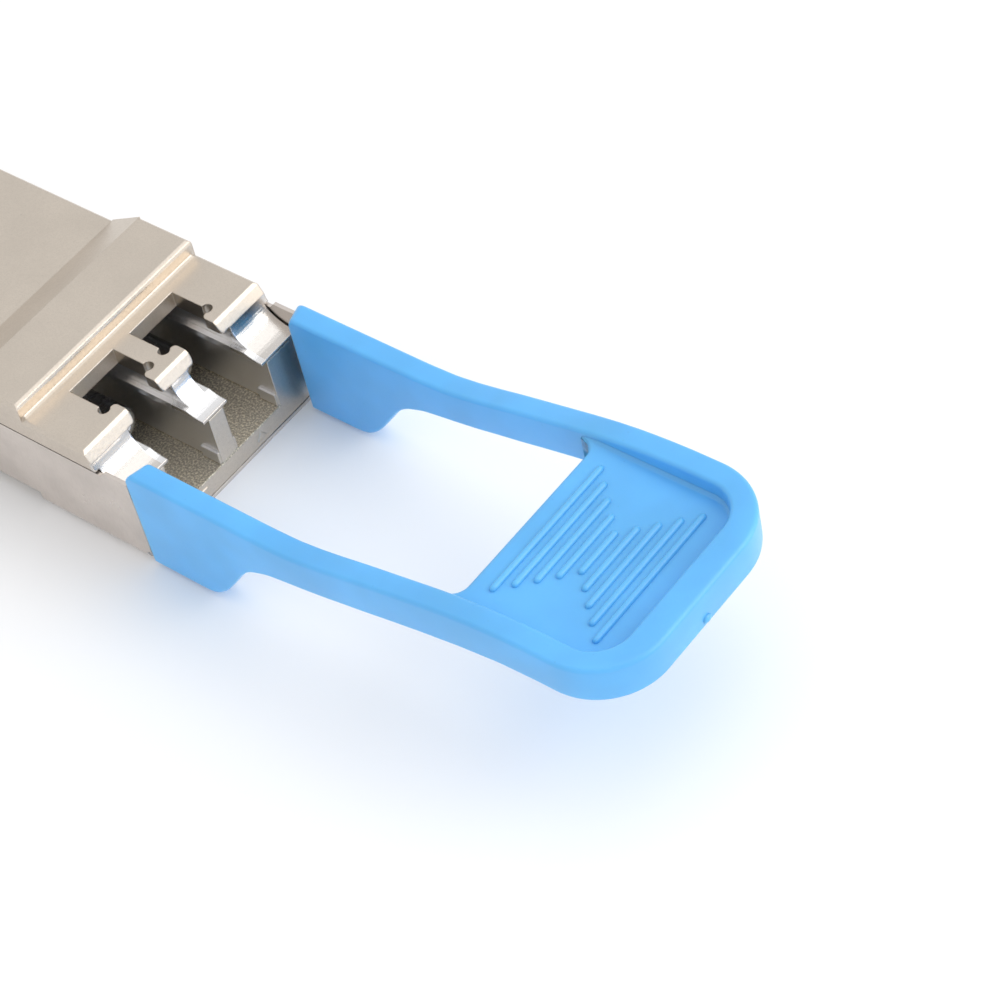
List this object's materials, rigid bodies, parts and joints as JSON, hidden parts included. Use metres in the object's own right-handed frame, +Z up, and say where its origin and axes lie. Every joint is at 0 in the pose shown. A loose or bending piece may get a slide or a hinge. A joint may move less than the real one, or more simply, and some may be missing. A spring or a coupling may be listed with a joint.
{
  "type": "pluggable optical transceiver module",
  "caption": "Pluggable duplex-fibre optical transceiver: die-cast housing, sliding sheet-metal latch with a sprung moulded pull tab, edge-contact board and optics inside.",
  "frame": {"origin": "Bottom centre of the whole bounding box: midway between the housing's rear end and the pull tab's tip, on the middle plane, at the height of the nose's underside.", "axes": "+X points out of the fibre port towards the pull tab, +Y to the receive side, +Z up through the ridge on the top housing."},
  "size_m": [0.1146, 0.0184, 0.0134],
  "materials": {
    "cast_nickel": "nickel-plated zinc casting, fine satin texture",
    "latch_sheet": "nickel-plated stamped steel sheet",
    "blue_tab": "satin moulded elastomer, light blue",
    "spring_steel": "drawn spring wire",
    "steel": "turned stainless steel",
    "ceramic": "polished white zirconia ceramic",
    "gold_plate": "gold plating",
    "board_laminate": "green solder mask over glass-epoxy laminate",
    "polyimide": "amber polyimide film",
    "black_epoxy": "moulded black epoxy",
    "grey_silicone": "soft grey filled silicone",
    "ferrite": "sintered ferrite"
  },
  "bodies": {
    "housing": {"bottom_housing": "cast_nickel", "contacts_bottom": "gold_plate", "contacts_top": "gold_plate", "controller_chip": "black_epoxy", "housing_screw_1": "steel", "housing_screw_2": "steel", "housing_screw_3": "steel", "housing_screw_4": "steel", "laser_driver_chip": "black_epoxy", "main_board": "board_laminate", "memory_chip": "black_epoxy", "power_converter_chip": "black_epoxy", "power_inductor": "ferrite", "processor_chip": "black_epoxy", "processor_thermal_pad": "grey_silicone", "receive_fibre_stub": "ceramic", "receive_flex": "polyimide", "receive_package": "gold_plate", "receive_sleeve": "steel", "receive_thermal_pad": "grey_silicone", "receiver_amplifier_chip": "black_epoxy", "return_spring_far": "spring_steel", "return_spring_near": "spring_steel", "seam_gasket_far": "grey_silicone", "seam_gasket_near": "grey_silicone", "sleeve_clamp": "steel", "top_housing": "cast_nickel", "transmit_fibre_stub": "ceramic", "transmit_flex": "polyimide", "transmit_package": "gold_plate", "transmit_sleeve": "steel", "transmit_thermal_pad": "grey_silicone"},
    "slider": {"latch_slider": "latch_sheet", "pull_tab": "blue_tab"}
  },
  "joints": [
    {"name": "latch_pull", "type": "slide", "parent": "housing", "child": "slider", "axis": [1, 0, 0], "range_m": [0, 0.0032], "stiffness_N_per_m": 600, "springref_m": -0.002, "deforming": ["return_spring_far", "return_spring_near"]}
  ]
}
